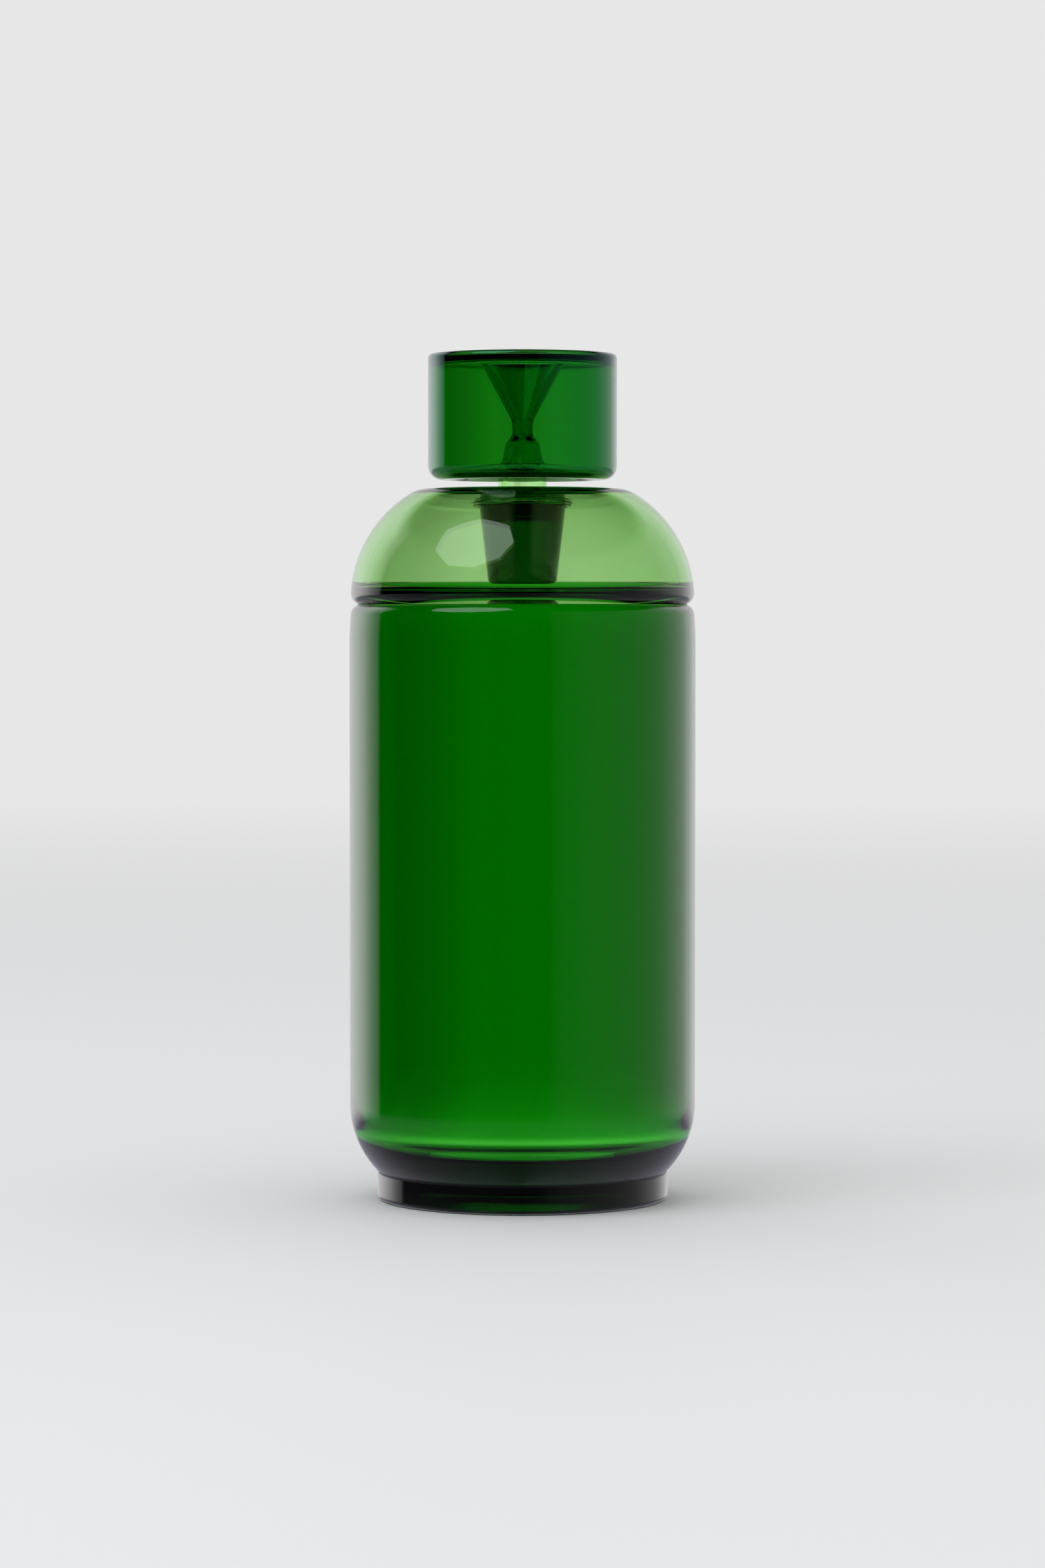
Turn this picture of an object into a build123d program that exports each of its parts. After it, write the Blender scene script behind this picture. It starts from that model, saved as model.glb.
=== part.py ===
from build123d import *
import os
from math import atan2, cos, degrees, radians, sqrt, tan

# A free-standing table bottle for oil, all of glass, with a funnel in its stopper.
# Millimetres, +Z up, origin at the middle of the ring that it stands on. Every piece is
# turned about the Z axis.

# Vessel body: a cup with a stepped-in foot, its wall thinned where the belly turns in.
BODY_RADIUS = 40.0
BODY_WALL = 3.8
BODY_TOP = 137.4              # bottom of the groove, where the dome is bonded on
BODY_LIP = 136.6              # where the outside turns in to the groove
BODY_LIP_RADIUS = 39.6
BODY_LIP_ROUND = 2.8
BODY_TAPER_START = 130.5      # above this the outside leans in very slightly
BODY_TAPER_ROUND = 60.0
INNER_LIP = 136.1             # where the inside turns in to the bond ring
INNER_LIP_ROUND = 2.6
GROOVE_RADIUS = 38.0
BOND_INNER = 34.6             # inner edge of the ring where dome and body are bonded
BELLY = 13.5                  # height where wall and bottom slope would meet in a corner
BELLY_ROUND = 22.2
FOOT_RADIUS = 33.6
FOOT_TOP = 6.6
FOOT_NECK_ROUND = 1.3         # hollow rounding between foot and belly
FOOT_EDGE_ROUND = 1.1
FOOT_RING_INNER = 27.95       # inner edge of the ring that touches the table
FOOT_RING_ROUND = 1.6
PUNT_RADIUS = 24.7            # hollow under the base
PUNT_EDGE = 4.05              # its height near the ring
PUNT_MIDDLE = 1.9             # and in the middle
PUNT_ROUND = 6.0
FLOOR_MIDDLE = 6.2            # inside height of the floor
FLOOR_RADIUS = 21.4
FLOOR_EDGE = 5.9
FLOOR_ROUND = 21.7
THIN_START = 25.7             # below this the inside widens towards the belly
THIN_ROUND = 40.0
WELL_RADIUS = 38.5            # where the widened wall and the floor's slope would meet
WELL_HEIGHT = 13.7
WELL_ROUND = 6.3

# Shoulder dome: lighter glass.
DOME_RADIUS = 39.7
DOME_WALL = 2.5
DOME_SIDE_CURVE = 28.75
DOME_SIDE_CENTRE = 138.4      # height of the side curve's centre
DOME_CROWN_CURVE = 7.1
DOME_TOP = 164.0
DOME_OUTER_START = 3.6        # where the side curve starts above the lip, in degrees
DOME_INNER_START = 10.0
DOME_LIP = 138.45             # where the outside would turn in to the groove
DOME_LIP_ROUND = 2.8
BEAD_SHOULDER = 140.95        # bead round the inside of the lip
BEAD_SHOULDER_ROUND = 2.0
BEAD_NOSE_RADIUS = 32.6
BEAD_NOSE = 138.85
BEAD_NOSE_ROUND = 1.3

# Stopper plug, and the seat in the dome that it drops into.
PLUG_TOP = 161.4
PLUG_BOTTOM = 136.6
PLUG_TOP_RADIUS = 10.1
PLUG_BOTTOM_RADIUS = 7.2
PLUG_WALL = 2.2
PLUG_EDGE_ROUND = 0.8
PLUG_TIP_ROUND = 1.0
SEAT_CLEARANCE = 0.15
SEAT_BOTTOM = 160.5
SEAT_WALL = 1.3
SEAT_ROUND = 0.45

# Stem, a plain tube from the plug up through the drum's floor, where the bell stands on it.
STEM_RADIUS = 5.6
STEM_BORE = 3.6
STEM_TOP = 169.4              # level with the top of the drum's floor

# Drum, the hollow cap of the stopper. Its floor is domed up to the stem and its lid is
# sunk a little below the rim.
DRUM_RADIUS = 21.8
DRUM_WALL = 1.7
DRUM_BOTTOM = 166.1
DRUM_TOP = 195.0
DRUM_SHEET = 1.0              # thickness of floor and lid
DRUM_HEEL_ROUND = 3.2
DRUM_RIM_ROUND = 1.0
FLOOR_FLAT = 7.0              # flat middle of the drum's floor, round the stem
FLOOR_FLAT_ROUND = 4.0
HEEL_RADIUS = 17.0            # where the drum's floor runs into its rolled-in heel
HEEL_HEIGHT = 1.3             # thickness of the heel
LID_TOP = 193.9

# Funnel inside the drum: lip, cone, throat and bell.
MOUTH_RADIUS = 12.0           # where the funnel is fused into the drum's lid
LIP_TOP = 194.8
LIP_RADIUS = 11.3
LIP_ROUND = 0.8
CONE_ANGLE = 28.5             # between the cone's side and the axis
CONE_FOOT = 179.6             # height where cone and throat would meet in a corner
THROAT_RADIUS = 2.4
THROAT_BORE = 1.2
THROAT_BOTTOM = 176.4         # where the throat would meet the bell's shoulder
BELL_SHOULDER_RADIUS = 3.9
BELL_SHOULDER = 174.4
BELL_RADIUS = 4.6
BELL_FOOT = 170.8             # where the bell starts to flare out to the stem's end
BELL_FOOT_RADIUS = 5.4
BELL_WALL = 0.9


def turned(*edges):
    """A solid turned about Z from a closed outline of edges drawn as (radius, height)."""
    return revolve(Plane.XZ * make_face(edges), Axis.Z)


def rounded(*corners, close=False):
    """Straight runs with rounded corners. A corner is (radius, height, rounding)."""
    points = [(r, z) for r, z, _ in corners]
    roundings = [rounding for _, _, rounding in corners]
    if not close:
        roundings = roundings[1:-1]
    return FilletPolyline(*points, radius=roundings, close=close)


def plug_radius(height):
    """Outside radius of the tapered plug at a height."""
    share = (height - PLUG_BOTTOM) / (PLUG_TOP - PLUG_BOTTOM)
    return PLUG_BOTTOM_RADIUS + share * (PLUG_TOP_RADIUS - PLUG_BOTTOM_RADIUS)


def cone_radius(height):
    """Outside radius of the funnel's cone at a height."""
    return THROAT_RADIUS + (height - CONE_FOOT) * tan(radians(CONE_ANGLE))


def body_glass():
    """The cup: foot ring, punt, belly, straight wall and turned-in top edge."""
    inner = BODY_RADIUS - BODY_WALL
    outline = rounded(
        (0, FLOOR_MIDDLE, 0),
        (0, PUNT_MIDDLE, 0),
        (PUNT_RADIUS, PUNT_EDGE, PUNT_ROUND),
        (FOOT_RING_INNER, 0, FOOT_RING_ROUND),
        (FOOT_RADIUS, 0, FOOT_EDGE_ROUND),
        (FOOT_RADIUS, FOOT_TOP, FOOT_NECK_ROUND),
        (BODY_RADIUS, BELLY, BELLY_ROUND),
        (BODY_RADIUS, BODY_TAPER_START, BODY_TAPER_ROUND),
        (BODY_LIP_RADIUS, BODY_LIP, BODY_LIP_ROUND),
        (GROOVE_RADIUS, BODY_TOP, 0),
        (BOND_INNER, BODY_TOP, 0),
        (inner, INNER_LIP, INNER_LIP_ROUND),
        (inner, THIN_START, THIN_ROUND),
        (WELL_RADIUS, WELL_HEIGHT, WELL_ROUND),
        (FLOOR_RADIUS, FLOOR_EDGE, FLOOR_ROUND),
        close=True,
    )
    return turned(outline)


def dome_curves(inset, start):
    """The side and crown arcs of the dome, set in from its outside. start is in degrees."""
    side_centre = DOME_RADIUS - DOME_SIDE_CURVE
    rise = DOME_TOP - DOME_CROWN_CURVE - DOME_SIDE_CENTRE
    run = sqrt((DOME_SIDE_CURVE - DOME_CROWN_CURVE) ** 2 - rise**2)
    meet = degrees(atan2(rise, run))
    side = CenterArc(
        (side_centre, DOME_SIDE_CENTRE), DOME_SIDE_CURVE - inset, start, meet - start
    )
    crown = CenterArc(
        (side_centre + run, DOME_TOP - DOME_CROWN_CURVE), DOME_CROWN_CURVE - inset, meet, 90 - meet
    )
    return side, crown


def carried_on(side, start, height):
    """Where the line of a side arc, carried straight on below its start, meets a height."""
    foot = side @ 0
    return foot.X + (foot.Y - height) * tan(radians(start)), height


def shoulder_dome():
    """The domed shoulder with its lip, inner bead, flat top and hanging seat for the plug."""
    outer_side, outer_crown = dome_curves(0, DOME_OUTER_START)
    inner_side, inner_crown = dome_curves(DOME_WALL, DOME_INNER_START)
    outer_lip = rounded(
        (GROOVE_RADIUS, BODY_TOP, 0),
        (*carried_on(outer_side, DOME_OUTER_START, DOME_LIP), DOME_LIP_ROUND),
        ((outer_side @ 0).X, (outer_side @ 0).Y, 0),
    )
    bead = rounded(
        ((inner_side @ 0).X, (inner_side @ 0).Y, 0),
        (*carried_on(inner_side, DOME_INNER_START, BEAD_SHOULDER), BEAD_SHOULDER_ROUND),
        (BEAD_NOSE_RADIUS, BEAD_NOSE, BEAD_NOSE_ROUND),
        (BOND_INNER, BODY_TOP, 0),
    )
    seat_low = plug_radius(SEAT_BOTTOM) + SEAT_CLEARANCE
    seat_high = plug_radius(DOME_TOP) + SEAT_CLEARANCE
    underside = DOME_TOP - DOME_WALL
    seat = rounded(
        ((outer_crown @ 1).X, DOME_TOP, 0),
        (seat_high, DOME_TOP, SEAT_ROUND),
        (seat_low, SEAT_BOTTOM, SEAT_ROUND),
        (seat_low + SEAT_WALL, SEAT_BOTTOM, SEAT_ROUND),
        (seat_low + SEAT_WALL, underside, SEAT_ROUND),
        ((inner_crown @ 1).X, underside, 0),
    )
    bond = Line((GROOVE_RADIUS, BODY_TOP), (BOND_INNER, BODY_TOP))
    return turned(
        bond, outer_lip, outer_side, outer_crown, seat, inner_crown, inner_side, bead
    )


def stopper_plug():
    """The hollow tapered plug, open below, closed above round the stem's bore."""
    top = PLUG_TOP - PLUG_WALL
    outline = rounded(
        (STEM_BORE, PLUG_TOP, 0),
        (PLUG_TOP_RADIUS, PLUG_TOP, PLUG_EDGE_ROUND),
        (PLUG_BOTTOM_RADIUS, PLUG_BOTTOM, PLUG_TIP_ROUND),
        (PLUG_BOTTOM_RADIUS - PLUG_WALL, PLUG_BOTTOM, PLUG_TIP_ROUND),
        (plug_radius(top) - PLUG_WALL, top, 2.5),
        (STEM_BORE, top, 1.0),
        close=True,
    )
    return turned(outline)


def stopper_stem():
    """The plain tube that joins the plug to the drum and the funnel's bell."""
    outline = rounded(
        (STEM_BORE, PLUG_TOP, 0),
        (STEM_RADIUS, PLUG_TOP, 0),
        (STEM_RADIUS, STEM_TOP, 0),
        (STEM_BORE, STEM_TOP, 0),
        close=True,
    )
    return turned(outline)


def stopper_drum():
    """The hollow cap: domed floor with the stem's hole, rolled-in heel, side wall, and a
    sunk lid with the mouth's hole."""
    inner = DRUM_RADIUS - DRUM_WALL
    heel = DRUM_BOTTOM + HEEL_HEIGHT
    floor_bottom = STEM_TOP - DRUM_SHEET
    lid_bottom = LID_TOP - DRUM_SHEET
    outline = rounded(
        (STEM_RADIUS, STEM_TOP, 0),
        (STEM_RADIUS, floor_bottom, 0),
        (FLOOR_FLAT, floor_bottom, FLOOR_FLAT_ROUND),
        (HEEL_RADIUS, DRUM_BOTTOM, 3.0),
        (DRUM_RADIUS, DRUM_BOTTOM, DRUM_HEEL_ROUND),
        (DRUM_RADIUS, DRUM_TOP, DRUM_RIM_ROUND),
        (inner, DRUM_TOP, 0.6),
        (inner, LID_TOP, 0.3),
        (MOUTH_RADIUS, LID_TOP, 0),
        (MOUTH_RADIUS, lid_bottom, 0),
        (inner, lid_bottom, 1.2),
        (inner, heel, 2.0),
        (HEEL_RADIUS, heel, 3.0),
        (FLOOR_FLAT, STEM_TOP, FLOOR_FLAT_ROUND),
        close=True,
    )
    return turned(outline)


def stopper_funnel():
    """The funnel fused into the lid: rounded lip, cone, narrow throat and bell."""
    lid_bottom = LID_TOP - DRUM_SHEET
    wall = THROAT_RADIUS - THROAT_BORE
    cone_wall = wall / cos(radians(CONE_ANGLE))
    outline = rounded(
        (MOUTH_RADIUS, LID_TOP, 0),
        (MOUTH_RADIUS, lid_bottom, 0),
        (cone_radius(lid_bottom), lid_bottom, 1.6),
        (THROAT_RADIUS, CONE_FOOT, 3.0),
        (THROAT_RADIUS, THROAT_BOTTOM, 1.0),
        (BELL_SHOULDER_RADIUS, BELL_SHOULDER, 2.5),
        (BELL_RADIUS, BELL_FOOT, 1.5),
        (BELL_FOOT_RADIUS, STEM_TOP, 0),
        (BELL_FOOT_RADIUS - BELL_WALL, STEM_TOP, 0),
        (BELL_RADIUS - BELL_WALL, BELL_FOOT, 1.0),
        (BELL_SHOULDER_RADIUS - BELL_WALL, BELL_SHOULDER, 2.0),
        (THROAT_BORE, THROAT_BOTTOM - wall / 2, 0.8),
        (THROAT_BORE, CONE_FOOT, 3.0),
        (cone_radius(LIP_TOP) - cone_wall, LIP_TOP, LIP_ROUND),
        (LIP_RADIUS, LIP_TOP, LIP_ROUND),
        close=True,
    )
    return turned(outline)


def main():
    os.makedirs("parts", exist_ok=True)
    pieces = {
        "body_glass": body_glass(),
        "shoulder_dome": shoulder_dome(),
        "stopper_plug": stopper_plug(),
        "stopper_stem": stopper_stem(),
        "stopper_drum": stopper_drum(),
        "stopper_funnel": stopper_funnel(),
    }
    for node, piece in pieces.items():
        export_step(piece, f"parts/{node}.step")


main()
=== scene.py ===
from math import atan2, cos, degrees, pi, radians, sin, sqrt, tan

import bmesh
import bpy
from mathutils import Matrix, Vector


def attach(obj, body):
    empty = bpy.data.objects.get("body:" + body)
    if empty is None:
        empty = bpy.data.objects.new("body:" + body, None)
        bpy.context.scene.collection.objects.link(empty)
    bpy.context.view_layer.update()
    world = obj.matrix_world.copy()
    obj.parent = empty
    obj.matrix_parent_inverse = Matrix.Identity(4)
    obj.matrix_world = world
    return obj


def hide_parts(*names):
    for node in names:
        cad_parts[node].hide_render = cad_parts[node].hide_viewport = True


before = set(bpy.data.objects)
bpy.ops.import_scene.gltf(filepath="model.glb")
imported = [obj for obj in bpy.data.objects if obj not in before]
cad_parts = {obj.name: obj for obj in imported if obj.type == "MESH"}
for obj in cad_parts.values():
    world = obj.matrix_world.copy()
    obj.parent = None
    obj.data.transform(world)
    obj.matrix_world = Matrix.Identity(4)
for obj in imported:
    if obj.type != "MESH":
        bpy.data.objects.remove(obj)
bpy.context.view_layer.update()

# A round glass oil bottle in six pieces, each turned about Z, in a plain pale studio.
# The bottle's sizes are in millimetres, in the same frame as the CAD model. The studio's
# are in metres.

MM = 0.001
HAIR = 0.015          # gap left between two pieces that are fused
SEGMENTS = 192        # faces round the axis
ARC_STEP = 4.0        # degrees between points along a rounded stretch
SHARP_CORNER = radians(15)

# Vessel body: a cup with a stepped-in foot, its wall thinned where the belly turns in.
BODY_RADIUS = 40.0
BODY_WALL = 3.8
BODY_TOP = 137.4              # bottom of the groove, where the dome is bonded on
BODY_LIP = 136.6              # where the outside turns in to the groove
BODY_LIP_RADIUS = 39.6
BODY_LIP_ROUND = 2.8
BODY_TAPER_START = 130.5      # above this the outside leans in very slightly
BODY_TAPER_ROUND = 60.0
INNER_LIP = 136.1             # where the inside turns in to the bond ring
INNER_LIP_ROUND = 2.6
GROOVE_RADIUS = 38.0
BOND_INNER = 34.6             # inner edge of the ring where dome and body are bonded
BELLY = 13.5                  # height where wall and bottom slope would meet in a corner
BELLY_ROUND = 22.2
FOOT_RADIUS = 33.6
FOOT_TOP = 6.6
FOOT_NECK_ROUND = 1.3         # hollow rounding between foot and belly
FOOT_EDGE_ROUND = 1.1
FOOT_RING_INNER = 27.95       # inner edge of the ring that touches the table
FOOT_RING_ROUND = 1.6
PUNT_RADIUS = 24.7            # hollow under the base
PUNT_EDGE = 4.05              # its height near the ring
PUNT_MIDDLE = 1.9             # and in the middle
PUNT_ROUND = 6.0
FLOOR_MIDDLE = 6.2            # inside height of the floor
FLOOR_RADIUS = 21.4
FLOOR_EDGE = 5.9
FLOOR_ROUND = 21.7
THIN_START = 25.7             # below this the inside widens towards the belly
THIN_ROUND = 40.0
WELL_RADIUS = 38.5            # where the widened wall and the floor's slope would meet
WELL_HEIGHT = 13.7
WELL_ROUND = 6.3

# Shoulder dome: lighter glass.
DOME_RADIUS = 39.7
DOME_WALL = 2.5
DOME_SIDE_CURVE = 28.75
DOME_SIDE_CENTRE = 138.4      # height of the side curve's centre
DOME_CROWN_CURVE = 7.1
DOME_TOP = 164.0
DOME_OUTER_START = 3.6        # where the side curve starts above the lip, in degrees
DOME_INNER_START = 10.0
DOME_LIP = 138.45             # where the outside would turn in to the groove
DOME_LIP_ROUND = 2.8
BEAD_SHOULDER = 140.95        # bead round the inside of the lip
BEAD_SHOULDER_ROUND = 2.0
BEAD_NOSE_RADIUS = 32.6
BEAD_NOSE = 138.85
BEAD_NOSE_ROUND = 1.3

# Stopper plug, and the seat in the dome that it drops into.
PLUG_TOP = 161.4
PLUG_BOTTOM = 136.6
PLUG_TOP_RADIUS = 10.1
PLUG_BOTTOM_RADIUS = 7.2
PLUG_WALL = 2.2
PLUG_EDGE_ROUND = 0.8
PLUG_TIP_ROUND = 1.0
PLUG_CEILING_ROUND = 2.5
PLUG_BORE_ROUND = 1.0         # where the stem's bore opens into the plug
SEAT_CLEARANCE = 0.15
SEAT_BOTTOM = 160.5
SEAT_WALL = 1.3
SEAT_ROUND = 0.45

# Stem, a plain tube from the plug up through the drum's floor, where the bell stands on it.
STEM_RADIUS = 5.6
STEM_BORE = 3.6
STEM_TOP = 169.4              # level with the top of the drum's floor

# Drum, the hollow cap of the stopper. Its floor is domed up to the stem and its lid is
# sunk a little below the rim.
DRUM_RADIUS = 21.8
DRUM_WALL = 1.7
DRUM_BOTTOM = 166.1
DRUM_TOP = 195.0
DRUM_SHEET = 1.0              # thickness of floor and lid
DRUM_HEEL_ROUND = 3.2
DRUM_HEEL_INNER_ROUND = 2.0
DRUM_RIM_ROUND = 1.0
DRUM_RIM_INNER_ROUND = 0.6
FLOOR_FLAT = 7.0              # flat middle of the drum's floor, round the stem
FLOOR_FLAT_ROUND = 4.0
HEEL_RADIUS = 17.0            # where the drum's floor runs into its rolled-in heel
HEEL_HEIGHT = 1.3             # thickness of the heel
HEEL_ROUND = 3.0
LID_TOP = 193.9
LID_TOP_ROUND = 0.3
LID_UNDER_ROUND = 1.2

# Funnel inside the drum: lip, cone, throat and bell.
MOUTH_RADIUS = 12.0           # where the funnel is fused into the drum's lid
MOUTH_UNDER_ROUND = 1.6
LIP_TOP = 194.8
LIP_RADIUS = 11.3
LIP_ROUND = 0.8
CONE_LEAN = tan(radians(28.5))
CONE_FOOT = 179.6             # height where cone and throat would meet in a corner
CONE_FOOT_ROUND = 3.0
THROAT_RADIUS = 2.4
THROAT_BORE = 1.2
THROAT_BOTTOM = 176.4         # where the throat would meet the bell's shoulder
THROAT_ROUND = 1.0
THROAT_BORE_ROUND = 0.8
BELL_SHOULDER_RADIUS = 3.9
BELL_SHOULDER = 174.4
BELL_SHOULDER_ROUND = 2.5
BELL_SHOULDER_INNER_ROUND = 2.0
BELL_RADIUS = 4.6
BELL_FOOT = 170.8             # where the bell starts to flare out to the stem's end
BELL_FOOT_ROUND = 1.5
BELL_FOOT_INNER_ROUND = 1.0
BELL_FOOT_RADIUS = 5.4
BELL_WALL = 0.9

# ------------------------------------------------------------------ outlines
# An outline is a closed list of (radius, height).


def rounded(corners, close=True):
    """Points along straight runs with rounded corners. A corner is (radius, height, rounding)."""
    points = []
    count = len(corners)
    for i, (r, z, rounding) in enumerate(corners):
        here = Vector((r, z))
        is_open_end = not close and i in (0, count - 1)
        if rounding == 0 or is_open_end:
            points.append((r, z))
            continue
        before = Vector(corners[i - 1][:2]) - here
        after = Vector(corners[(i + 1) % count][:2]) - here
        half = before.angle(after) / 2
        reach = rounding / tan(half)
        start = here + before.normalized() * reach
        bisector = (before.normalized() + after.normalized()).normalized()
        centre = here + bisector * (rounding / sin(half))
        sweep = pi - 2 * half
        steps = max(2, round(sweep / radians(ARC_STEP)))
        spoke = start - centre
        turn = -1 if before.x * after.y - before.y * after.x > 0 else 1
        for k in range(steps + 1):
            a = turn * sweep * k / steps
            points.append((
                centre.x + spoke.x * cos(a) - spoke.y * sin(a),
                centre.y + spoke.x * sin(a) + spoke.y * cos(a),
            ))
    return points


def arc(centre, radius, start, end):
    """Points along an arc, from one angle to another in degrees."""
    steps = max(2, round(abs(end - start) / ARC_STEP))
    angles = [radians(start + (end - start) * k / steps) for k in range(steps + 1)]
    return [(centre[0] + radius * cos(a), centre[1] + radius * sin(a)) for a in angles]


def plug_radius(height):
    """Outside radius of the tapered plug at a height."""
    share = (height - PLUG_BOTTOM) / (PLUG_TOP - PLUG_BOTTOM)
    return PLUG_BOTTOM_RADIUS + share * (PLUG_TOP_RADIUS - PLUG_BOTTOM_RADIUS)


def cone_radius(height):
    """Outside radius of the funnel's cone at a height."""
    return THROAT_RADIUS + (height - CONE_FOOT) * CONE_LEAN


def body_outline():
    """The cup: foot ring, punt, belly, straight wall and turned-in top edge."""
    inner = BODY_RADIUS - BODY_WALL
    top = BODY_TOP - HAIR
    return rounded([
        (0, FLOOR_MIDDLE, 0),
        (0, PUNT_MIDDLE, 0),
        (PUNT_RADIUS, PUNT_EDGE, PUNT_ROUND),
        (FOOT_RING_INNER, 0, FOOT_RING_ROUND),
        (FOOT_RADIUS, 0, FOOT_EDGE_ROUND),
        (FOOT_RADIUS, FOOT_TOP, FOOT_NECK_ROUND),
        (BODY_RADIUS, BELLY, BELLY_ROUND),
        (BODY_RADIUS, BODY_TAPER_START, BODY_TAPER_ROUND),
        (BODY_LIP_RADIUS, BODY_LIP, BODY_LIP_ROUND),
        (GROOVE_RADIUS, top, 0),
        (BOND_INNER, top, 0),
        (inner, INNER_LIP, INNER_LIP_ROUND),
        (inner, THIN_START, THIN_ROUND),
        (WELL_RADIUS, WELL_HEIGHT, WELL_ROUND),
        (FLOOR_RADIUS, FLOOR_EDGE, FLOOR_ROUND),
    ])


def dome_curve(inset, start):
    """Points up the dome's side and crown to its flat top, set in from its outside. start is
    the angle in degrees where the side's curve begins."""
    side_centre = DOME_RADIUS - DOME_SIDE_CURVE
    rise = DOME_TOP - DOME_CROWN_CURVE - DOME_SIDE_CENTRE
    run = sqrt((DOME_SIDE_CURVE - DOME_CROWN_CURVE) ** 2 - rise**2)
    meet = degrees(atan2(rise, run))
    side = arc((side_centre, DOME_SIDE_CENTRE), DOME_SIDE_CURVE - inset, start, meet)
    crown_centre = (side_centre + run, DOME_TOP - DOME_CROWN_CURVE)
    return side + arc(crown_centre, DOME_CROWN_CURVE - inset, meet, 90)[1:]


def carried_on(curve, start, height):
    """Where the line of a dome curve, carried straight on below its start, meets a height."""
    r, z = curve[0]
    return r + (z - height) * tan(radians(start)), height


def dome_outline():
    """The domed shoulder with its lip, inner bead, flat top and hanging seat for the plug."""
    bottom = BODY_TOP + HAIR
    outer = dome_curve(0, DOME_OUTER_START)
    inner = dome_curve(DOME_WALL, DOME_INNER_START)
    outer_lip = rounded([
        (GROOVE_RADIUS, bottom, 0),
        (*carried_on(outer, DOME_OUTER_START, DOME_LIP), DOME_LIP_ROUND),
        (*outer[0], 0),
    ], close=False)
    bead = rounded([
        (*inner[0], 0),
        (*carried_on(inner, DOME_INNER_START, BEAD_SHOULDER), BEAD_SHOULDER_ROUND),
        (BEAD_NOSE_RADIUS, BEAD_NOSE, BEAD_NOSE_ROUND),
        (BOND_INNER, bottom, 0),
    ], close=False)
    seat_low = plug_radius(SEAT_BOTTOM) + SEAT_CLEARANCE
    seat_high = plug_radius(DOME_TOP) + SEAT_CLEARANCE
    underside = DOME_TOP - DOME_WALL
    seat = rounded([
        (outer[-1][0], DOME_TOP, 0),
        (seat_high, DOME_TOP, SEAT_ROUND),
        (seat_low, SEAT_BOTTOM, SEAT_ROUND),
        (seat_low + SEAT_WALL, SEAT_BOTTOM, SEAT_ROUND),
        (seat_low + SEAT_WALL, underside, SEAT_ROUND),
        (inner[-1][0], underside, 0),
    ], close=False)
    return outer_lip[:-1] + outer + seat[1:-1] + inner[::-1] + bead[1:]


def plug_outline():
    """The hollow tapered plug, open below, closed above round the stem's bore."""
    ceiling = PLUG_TOP - PLUG_WALL
    return rounded([
        (STEM_BORE, PLUG_TOP, 0),
        (PLUG_TOP_RADIUS, PLUG_TOP, PLUG_EDGE_ROUND),
        (PLUG_BOTTOM_RADIUS, PLUG_BOTTOM, PLUG_TIP_ROUND),
        (PLUG_BOTTOM_RADIUS - PLUG_WALL, PLUG_BOTTOM, PLUG_TIP_ROUND),
        (plug_radius(ceiling) - PLUG_WALL, ceiling, PLUG_CEILING_ROUND),
        (STEM_BORE, ceiling, PLUG_BORE_ROUND),
    ])


def stem_outline():
    """The plain tube that joins the plug to the drum and the funnel's bell. The point level
    with the drum's floor marks where the stem is fused to it."""
    low = PLUG_TOP + HAIR
    high = STEM_TOP - HAIR
    return [
        (STEM_BORE, low),
        (STEM_RADIUS, low),
        (STEM_RADIUS, STEM_TOP - DRUM_SHEET),
        (STEM_RADIUS, high),
        (STEM_BORE, high),
    ]


def drum_outline():
    """The hollow cap: domed floor with the stem's hole, rolled-in heel, side wall, and a sunk
    lid with the mouth's hole."""
    inner = DRUM_RADIUS - DRUM_WALL
    heel = DRUM_BOTTOM + HEEL_HEIGHT
    floor_bottom = STEM_TOP - DRUM_SHEET
    lid_bottom = LID_TOP - DRUM_SHEET
    hole = STEM_RADIUS + HAIR
    mouth = MOUTH_RADIUS + HAIR
    return rounded([
        (hole, STEM_TOP, 0),
        (hole, floor_bottom, 0),
        (FLOOR_FLAT, floor_bottom, FLOOR_FLAT_ROUND),
        (HEEL_RADIUS, DRUM_BOTTOM, HEEL_ROUND),
        (DRUM_RADIUS, DRUM_BOTTOM, DRUM_HEEL_ROUND),
        (DRUM_RADIUS, DRUM_TOP, DRUM_RIM_ROUND),
        (inner, DRUM_TOP, DRUM_RIM_INNER_ROUND),
        (inner, LID_TOP, LID_TOP_ROUND),
        (mouth, LID_TOP, 0),
        (mouth, lid_bottom, 0),
        (inner, lid_bottom, LID_UNDER_ROUND),
        (inner, heel, DRUM_HEEL_INNER_ROUND),
        (HEEL_RADIUS, heel, HEEL_ROUND),
        (FLOOR_FLAT, STEM_TOP, FLOOR_FLAT_ROUND),
    ])


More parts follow.
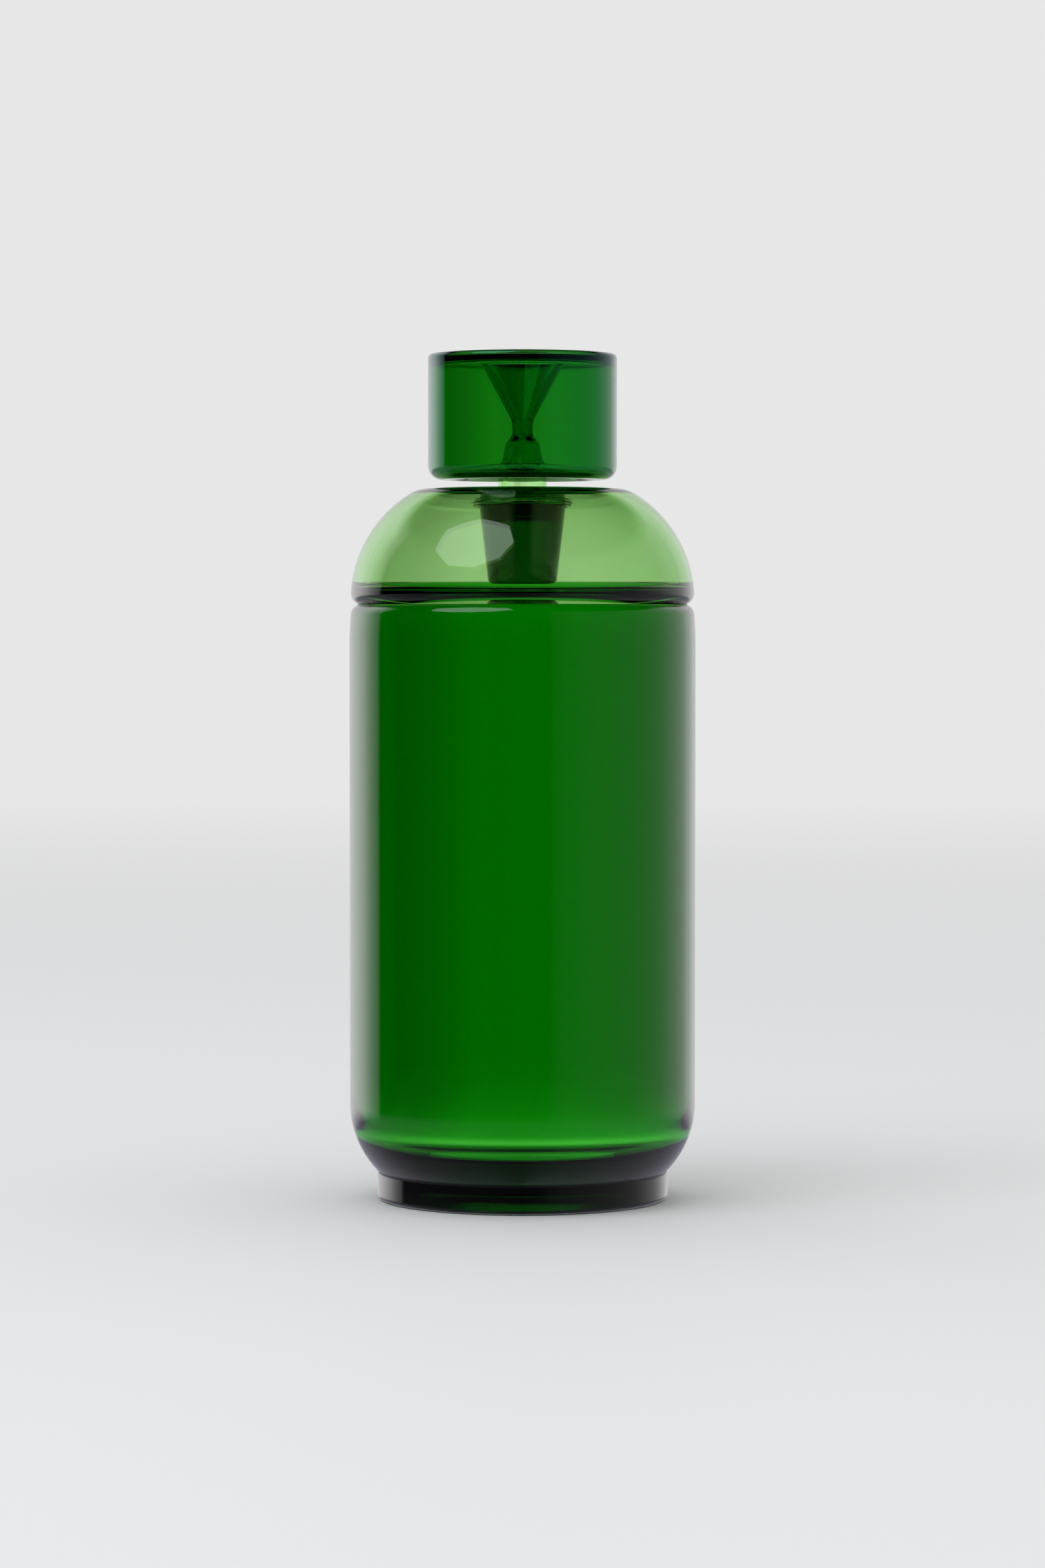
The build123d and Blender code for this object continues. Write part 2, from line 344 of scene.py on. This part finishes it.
def funnel_outline():
    """The funnel fused into the lid: rounded lip, cone, narrow throat and bell."""
    lid_bottom = LID_TOP - DRUM_SHEET
    foot = STEM_TOP + HAIR
    wall = THROAT_RADIUS - THROAT_BORE
    cone_wall = wall / cos(atan2(CONE_LEAN, 1))
    return rounded([
        (MOUTH_RADIUS, LID_TOP, 0),
        (MOUTH_RADIUS, lid_bottom, 0),
        (cone_radius(lid_bottom), lid_bottom, MOUTH_UNDER_ROUND),
        (THROAT_RADIUS, CONE_FOOT, CONE_FOOT_ROUND),
        (THROAT_RADIUS, THROAT_BOTTOM, THROAT_ROUND),
        (BELL_SHOULDER_RADIUS, BELL_SHOULDER, BELL_SHOULDER_ROUND),
        (BELL_RADIUS, BELL_FOOT, BELL_FOOT_ROUND),
        (BELL_FOOT_RADIUS, foot, 0),
        (BELL_FOOT_RADIUS - BELL_WALL, foot, 0),
        (BELL_RADIUS - BELL_WALL, BELL_FOOT, BELL_FOOT_INNER_ROUND),
        (BELL_SHOULDER_RADIUS - BELL_WALL, BELL_SHOULDER, BELL_SHOULDER_INNER_ROUND),
        (THROAT_BORE, THROAT_BOTTOM - wall / 2, THROAT_BORE_ROUND),
        (THROAT_BORE, CONE_FOOT, CONE_FOOT_ROUND),
        (cone_radius(LIP_TOP) - cone_wall, LIP_TOP, LIP_ROUND),
        (LIP_RADIUS, LIP_TOP, LIP_ROUND),
    ])


# ------------------------------------------------------------------ meshes
def fused_ring(height, inner, outer):
    """Where two pieces are fused flat on each other, as the (radius, height) of its low and
    its high corner."""
    return (inner, height - 2 * HAIR), (outer, height + 2 * HAIR)


def fused_wall(radius, low, high):
    """Where one piece is fused into a hole of another, given in the same way."""
    return (radius - 2 * HAIR, low), (radius + 2 * HAIR, high)


def lathe(name, outline, fused):
    """A closed glass piece turned about Z. The attribute "seam" is 1 on its fused faces."""
    mesh = bpy.data.meshes.new(name)
    bm = bmesh.new()
    seam = bm.faces.layers.float.new("seam")
    spokes = [2 * pi * k / SEGMENTS for k in range(SEGMENTS)]
    rings = []
    for r, z in outline:
        on_axis = r < 1e-6
        places = [(0, 0, z * MM)] if on_axis else [
            (r * MM * cos(a), r * MM * sin(a), z * MM) for a in spokes
        ]
        rings.append([bm.verts.new(place) for place in places])
    for i, ring in enumerate(rings):
        after = rings[(i + 1) % len(rings)]
        if len(ring) == 1 and len(after) == 1:
            continue
        r, z = [(a + b) / 2 for a, b in zip(outline[i], outline[(i + 1) % len(rings)])]
        is_fused = any(
            low[0] <= r <= high[0] and low[1] <= z <= high[1] for low, high in fused
        )
        for k in range(SEGMENTS):
            n = (k + 1) % SEGMENTS
            if len(ring) == 1:
                corners = (ring[0], after[n], after[k])
            elif len(after) == 1:
                corners = (ring[k], ring[n], after[0])
            else:
                corners = (ring[k], ring[n], after[n], after[k])
            face = bm.faces.new(corners)
            face.smooth = True
            face[seam] = 1.0 if is_fused else 0.0
    for i, ring in enumerate(rings):
        back = Vector(outline[i]) - Vector(outline[i - 1])
        ahead = Vector(outline[(i + 1) % len(rings)]) - Vector(outline[i])
        if len(ring) > 1 and back.angle(ahead) > SHARP_CORNER:
            for k in range(SEGMENTS):
                bm.edges.get((ring[k], ring[(k + 1) % SEGMENTS])).smooth = False
    bmesh.ops.recalc_face_normals(bm, faces=bm.faces)
    bm.to_mesh(mesh)
    bm.free()
    piece = bpy.data.objects.new(name, mesh)
    bpy.context.scene.collection.objects.link(piece)
    return piece


# ------------------------------------------------------------------ shader nodes
class Nodes:
    """Adds nodes to one node tree. A value is a number, a colour or another node's output."""

    def __init__(self, tree):
        self.tree = tree

    def add(self, kind):
        return self.tree.nodes.new("ShaderNode" + kind)

    def put(self, value, socket):
        if isinstance(value, bpy.types.NodeSocket):
            self.tree.links.new(value, socket)
        elif isinstance(value, tuple):
            socket.default_value = (*value, 1)
        else:
            socket.default_value = value

    def maths(self, operation, *values):
        node = self.add("Math")
        node.operation = operation
        for value, socket in zip(values, node.inputs):
            self.put(value, socket)
        return node.outputs[0]

    def mixed(self, factor, a, b, blend="MIX"):
        """Two colours mixed. A colour Mix node has its factor in socket 0, colours in 6 and 7."""
        node = self.add("Mix")
        node.data_type = "RGBA"
        node.blend_type = blend
        for value, index in ((factor, 0), (a, 6), (b, 7)):
            self.put(value, node.inputs[index])
        return node.outputs[2]

    def ramp(self, source, stops):
        """A grey level that runs straight from stop to stop. A stop is (position, level)."""
        node = self.add("ValToRGB")
        elements = node.color_ramp.elements
        for element, (position, level) in zip(elements, (stops[0], stops[-1])):
            element.position = position
            element.color = (level, level, level, 1)
        for position, level in stops[1:-1]:
            elements.new(position).color = (level, level, level, 1)
        self.put(source, node.inputs["Fac"])
        return node.outputs["Color"]


# ------------------------------------------------------------------ glass
GLASS_INDEX = 1.5             # index of refraction; across a fused face it is 1
WAVE_HEIGHT = 0.012 * MM      # waves drawn out upwards, about 15 mm apart
WAVE_SCALE, WAVE_STRETCH = 70, 0.4
SEED_HEIGHT = 0.05 * MM       # a few round seeds, under half a millimetre across
SEED_CELLS = 170
SEED_SIZE, SEED_RARITY = 0.035, 0.9
SMEAR_ROUGHNESS = 0.03        # handling smears dull the gloss a little
SMEAR_SCALE = 35
SMEAR_START, SMEAR_FULL = 0.5, 0.8
DRIFT_TINT = (0.94, 0.985, 0.94)    # the tint drifts by a few percent
DRIFT_SCALE, DRIFT_STRETCH = 22, 0.5
WHITE = (1, 1, 1)


def glass(name, absorb, mirror_tint=WHITE):
    """Clear coloured glass with the faint waves, smears and seeds of pressed glass. absorb is
    how much red, green and blue light it takes off, per metre."""
    mat = bpy.data.materials.new(name)
    mat.use_nodes = True
    nodes = Nodes(mat.node_tree)
    shader = mat.node_tree.nodes["Principled BSDF"]
    nodes.put(1.0, shader.inputs["Transmission Weight"])
    nodes.put(mirror_tint, shader.inputs["Specular Tint"])
    where = nodes.add("TexCoord").outputs["Object"]

    def noise(scale, detail, stretch=1.0):
        place = nodes.add("Mapping")
        place.inputs["Scale"].default_value = (1, 1, stretch)
        nodes.put(where, place.inputs["Vector"])
        node = nodes.add("TexNoise")
        nodes.put(scale, node.inputs["Scale"])
        nodes.put(detail, node.inputs["Detail"])
        nodes.put(place.outputs[0], node.inputs["Vector"])
        return node.outputs["Fac"]

    waves = nodes.maths("MULTIPLY", noise(WAVE_SCALE, 1, WAVE_STRETCH), WAVE_HEIGHT)
    cells = nodes.add("TexVoronoi")
    nodes.put(SEED_CELLS, cells.inputs["Scale"])
    nodes.put(where, cells.inputs["Vector"])
    chance = nodes.add("SeparateColor")
    nodes.put(cells.outputs["Color"], chance.inputs[0])
    dot = nodes.maths("LESS_THAN", cells.outputs["Distance"], SEED_SIZE)
    chosen = nodes.maths("GREATER_THAN", chance.outputs[0], SEED_RARITY)
    seeds = nodes.maths("MULTIPLY", nodes.maths("MULTIPLY", dot, chosen), SEED_HEIGHT)
    bump = nodes.add("Bump")
    nodes.put(1.0, bump.inputs["Distance"])
    nodes.put(nodes.maths("ADD", waves, seeds), bump.inputs["Height"])
    nodes.put(bump.outputs[0], shader.inputs["Normal"])

    smears = nodes.add("MapRange")
    nodes.put(SMEAR_START, smears.inputs["From Min"])
    nodes.put(SMEAR_FULL, smears.inputs["From Max"])
    nodes.put(SMEAR_ROUGHNESS, smears.inputs["To Max"])
    nodes.put(noise(SMEAR_SCALE, 3), smears.inputs["Value"])
    nodes.put(smears.outputs[0], shader.inputs["Roughness"])
    drift = nodes.mixed(noise(DRIFT_SCALE, 2, DRIFT_STRETCH), WHITE, DRIFT_TINT)
    nodes.put(drift, shader.inputs["Base Color"])

    seam = nodes.add("Attribute")
    seam.attribute_name = "seam"
    index = nodes.maths("MULTIPLY_ADD", seam.outputs["Fac"], 1 - GLASS_INDEX, GLASS_INDEX)
    nodes.put(index, shader.inputs["IOR"])
    volume = nodes.add("VolumeAbsorption")
    density = max(absorb)
    nodes.put(density, volume.inputs["Density"])
    nodes.put(tuple(1 - a / density for a in absorb), volume.inputs["Color"])
    nodes.put(volume.outputs[0], mat.node_tree.nodes["Material Output"].inputs["Volume"])
    return mat


BODY_GLASS = glass("body_glass", (950, 250, 1100))
LIGHT_GLASS = glass("light_glass", (232, 110, 313))
STEM_GLASS = glass("stem_glass", (187, 60, 256))
CAP_GLASS = glass("cap_glass", (1500, 500, 1500), mirror_tint=(0.3, 0.95, 1.0))
FUNNEL_GLASS = glass("funnel_glass", (1300, 360, 800))
PLUG_GLASS = glass("plug_glass", (1500, 600, 1300))

# ------------------------------------------------------------------ the six pieces
BOND = fused_ring(BODY_TOP, BOND_INNER, GROOVE_RADIUS)
PLUG_JOINT = fused_ring(PLUG_TOP, STEM_BORE, STEM_RADIUS)
FLOOR_JOINT = fused_wall(STEM_RADIUS, STEM_TOP - DRUM_SHEET, STEM_TOP)
LID_JOINT = fused_wall(MOUTH_RADIUS, LID_TOP - DRUM_SHEET, LID_TOP)

# Name, CAD node, body that it rides on, material slot, outline, glass and fused places.
PIECES = [
    ("body", "body_glass", "bottle", "body_green", body_outline(), BODY_GLASS, [BOND]),
    ("dome", "shoulder_dome", "bottle", "light_green", dome_outline(), LIGHT_GLASS, [BOND]),
    ("plug", "stopper_plug", "stopper", "plug_green", plug_outline(), PLUG_GLASS, []),
    ("stem", "stopper_stem", "stopper", "light_green", stem_outline(), STEM_GLASS,
     [PLUG_JOINT, FLOOR_JOINT]),
    ("drum", "stopper_drum", "stopper", "cap_green", drum_outline(), CAP_GLASS,
     [LID_JOINT, FLOOR_JOINT]),
    ("funnel", "stopper_funnel", "stopper", "cap_green", funnel_outline(), FUNNEL_GLASS,
     [LID_JOINT]),
]
for name, node, body, slot, outline, material, fused in PIECES:
    piece = lathe(name, outline, fused)
    piece.data.materials.append(material)
    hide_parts(node)
    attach(piece, body)

# ------------------------------------------------------------------ light all round
# Levels by height: -1 is straight down, 0 level and 1 straight up.
THROUGH_BY_HEIGHT = [
    (-1, 0.30), (-0.6, 0.35), (-0.34, 0.75), (-0.12, 1.0), (0.56, 1.0), (0.68, 0.02), (1, 0.0),
]
TABLE_BY_HEIGHT = [(-1, 1.0), (-0.2, 1.0), (-0.12, 0.0), (1, 0.0)]
OPEN_BY_HEIGHT = [(-1, 1.0), (0.52, 1.0), (0.64, 0.0), (1, 0.0)]

# Levels by bearing in degrees: 0 is behind the bottle, 90 on its right and 180 in front.
WALL_BY_BEARING = [
    (-180, 0.0), (-70.9, 0.0), (-67.7, 0.6), (-60, 1.1), (-50, 1.76), (-39.6, 1.76), (-28, 1.42),
    (-17, 1.03), (0, 0.7), (17, 0.94), (22, 1.19), (39, 1.19), (45, 1.0), (68, 0.67), (76, 0.5),
    (101, 0.26), (130, 0.17), (155, 0.08), (160, 0.06), (161.3, 0.0), (180, 0.0),
]
TABLE_BY_BEARING = [
    (-180, 0.12), (-126, 0.2), (-72, 0.3), (-36, 0.5), (36, 0.5), (72, 0.45), (126, 0.3),
    (180, 0.12),
]
BACKLIGHT_BY_BEARING = [
    (-180, 0.06), (-162, 0.08), (-140.4, 1.0), (-10.8, 1.0), (-8.3, 0.75), (-3.6, 0.75),
    (-1.1, 1.0), (140.4, 1.0), (162, 0.08), (180, 0.06),
]
TABLE_TINT = (0.86, 0.84, 1.0)
ROOM_LEVEL = 0.85             # what matt surfaces are lit by
BACKDROP_LEVEL = 0.80         # what the camera sees behind the bottle


def grey(level):
    return (level, level, level)


def world_light():
    """What the bottle is lit by and stands in front of, by kind of ray."""
    world = bpy.data.worlds.new("studio")
    bpy.context.scene.world = world
    world.use_nodes = True
    nodes = Nodes(world.node_tree)
    split = nodes.add("SeparateXYZ")
    nodes.put(nodes.add("TexCoord").outputs["Generated"], split.inputs[0])
    x, y, z = (split.outputs[axis] for axis in "XYZ")
    height = nodes.maths("MULTIPLY_ADD", z, 0.5, 0.5)
    bearing = nodes.maths("MULTIPLY_ADD", nodes.maths("ARCTAN2", x, y), 0.5 / pi, 0.5)

    def by_height(stops):
        return nodes.ramp(height, [(0.5 + h / 2, level) for h, level in stops])

    def by_bearing(stops):
        return nodes.ramp(bearing, [(0.5 + turn / 360, level) for turn, level in stops])

    # Seen through glass: a bright sweep that is dark overhead, underfoot and in front.
    through = nodes.mixed(
        1.0, by_height(THROUGH_BY_HEIGHT), by_bearing(BACKLIGHT_BY_BEARING), "MULTIPLY"
    )
    # Mirrored in glass: the walls, the table top below them, and darkness overhead.
    table = nodes.mixed(1.0, by_bearing(TABLE_BY_BEARING), TABLE_TINT, "MULTIPLY")
    around = nodes.mixed(by_height(TABLE_BY_HEIGHT), by_bearing(WALL_BY_BEARING), table)
    mirrored = nodes.mixed(1.0, around, by_height(OPEN_BY_HEIGHT), "MULTIPLY")
    path = nodes.add("LightPath")
    color = nodes.mixed(path.outputs["Is Transmission Ray"], mirrored, through)
    color = nodes.mixed(path.outputs["Is Diffuse Ray"], color, grey(ROOM_LEVEL))
    color = nodes.mixed(path.outputs["Is Camera Ray"], color, grey(BACKDROP_LEVEL))
    nodes.put(color, world.node_tree.nodes["Background"].inputs["Color"])


world_light()

# ------------------------------------------------------------------ softbox
SOFTBOX_BEARING = radians(-45.3)      # from straight in front, towards the left
SOFTBOX_ELEVATION = radians(50)
SOFTBOX_DISTANCE = 1.35
SOFTBOX_RADIUS = 0.58
SOFTBOX_SIDES = 8
SOFTBOX_FACES = Vector((0, 0, 0.12))  # the point that it faces
SOFTBOX_COLOR = (0.92, 1.0, 0.99)
SOFTBOX_STRENGTH = 2.4


def softbox():
    """The big eight-sided light, high on the left in front."""
    mesh = bpy.data.meshes.new("softbox")
    spokes = [2 * pi * (k + 0.5) / SOFTBOX_SIDES for k in range(SOFTBOX_SIDES)]
    corners = [(SOFTBOX_RADIUS * cos(a), SOFTBOX_RADIUS * sin(a), 0) for a in spokes]
    mesh.from_pydata(corners, [], [range(SOFTBOX_SIDES)])
    box = bpy.data.objects.new("softbox", mesh)
    bpy.context.scene.collection.objects.link(box)
    away = Vector((
        sin(SOFTBOX_BEARING) * cos(SOFTBOX_ELEVATION),
        -cos(SOFTBOX_BEARING) * cos(SOFTBOX_ELEVATION),
        sin(SOFTBOX_ELEVATION),
    ))
    box.location = SOFTBOX_FACES + away * SOFTBOX_DISTANCE
    box.rotation_mode = "QUATERNION"
    box.rotation_quaternion = away.to_track_quat("Z", "Y")
    mat = bpy.data.materials.new("softbox")
    mat.use_nodes = True
    nodes = Nodes(mat.node_tree)
    mat.node_tree.nodes.remove(mat.node_tree.nodes["Principled BSDF"])
    emit = nodes.add("Emission")
    nodes.put(SOFTBOX_COLOR, emit.inputs["Color"])
    nodes.put(SOFTBOX_STRENGTH, emit.inputs["Strength"])
    nodes.put(emit.outputs[0], mat.node_tree.nodes["Material Output"].inputs["Surface"])
    mesh.materials.append(mat)
    box.visible_camera = False


softbox()

# ------------------------------------------------------------------ floor
TABLE_RADIUS = 3.0
TABLE_DROP = 0.0002                   # keeps the floor just clear of the foot
TABLE_COLOR = (0.80, 0.80, 0.81)
FADE_START, FADE_END = 0.5, 2.6       # where the floor fades into the backdrop


def floor():
    """The pale table top. The glass takes its own view of the table from the world light, so
    the floor is hidden from it."""
    mesh = bpy.data.meshes.new("floor")
    bm = bmesh.new()
    bmesh.ops.create_circle(bm, cap_ends=True, radius=TABLE_RADIUS, segments=96)
    bm.to_mesh(mesh)
    bm.free()
    table = bpy.data.objects.new("floor", mesh)
    bpy.context.scene.collection.objects.link(table)
    mat = bpy.data.materials.new("floor")
    mat.use_nodes = True
    nodes = Nodes(mat.node_tree)
    shader = mat.node_tree.nodes["Principled BSDF"]
    nodes.put(TABLE_COLOR, shader.inputs["Base Color"])
    nodes.put(0.7, shader.inputs["Roughness"])
    nodes.put(0.2, shader.inputs["Specular IOR Level"])
    length = nodes.add("VectorMath")
    length.operation = "LENGTH"
    nodes.put(nodes.add("TexCoord").outputs["Object"], length.inputs[0])
    fade = nodes.add("MapRange")
    nodes.put(FADE_START, fade.inputs["From Min"])
    nodes.put(FADE_END, fade.inputs["From Max"])
    fade.interpolation_type = "SMOOTHSTEP"
    nodes.put(length.outputs["Value"], fade.inputs["Value"])
    mix = nodes.add("MixShader")
    nodes.put(fade.outputs[0], mix.inputs[0])
    nodes.put(shader.outputs[0], mix.inputs[1])
    nodes.put(nodes.add("BsdfTransparent").outputs[0], mix.inputs[2])
    nodes.put(mix.outputs[0], mat.node_tree.nodes["Material Output"].inputs["Surface"])
    mesh.materials.append(mat)
    table.location.z = -TABLE_DROP
    table.visible_transmission = False
    table.visible_glossy = False


floor()

# ------------------------------------------------------------------ camera and render
CAMERA_DISTANCE = 1.100
CAMERA_HEIGHT = 0.134
AIM_HEIGHT = 0.0959
camera = bpy.data.objects.new("camera", bpy.data.cameras.new("camera"))
bpy.context.scene.collection.objects.link(camera)
camera.data.sensor_width = 36
camera.data.lens = 109.3
camera.location = (0, -CAMERA_DISTANCE, CAMERA_HEIGHT)
look_down = atan2(CAMERA_HEIGHT - AIM_HEIGHT, CAMERA_DISTANCE)
camera.rotation_euler = (pi / 2 - look_down, 0, 0)
bpy.context.scene.camera = camera

scene = bpy.context.scene
scene.view_settings.view_transform = "Standard"
scene.cycles.max_bounces = 32
scene.cycles.transmission_bounces = 32
scene.cycles.glossy_bounces = 16
scene.cycles.transparent_max_bounces = 16
scene.cycles.sample_clamp_indirect = 8.0
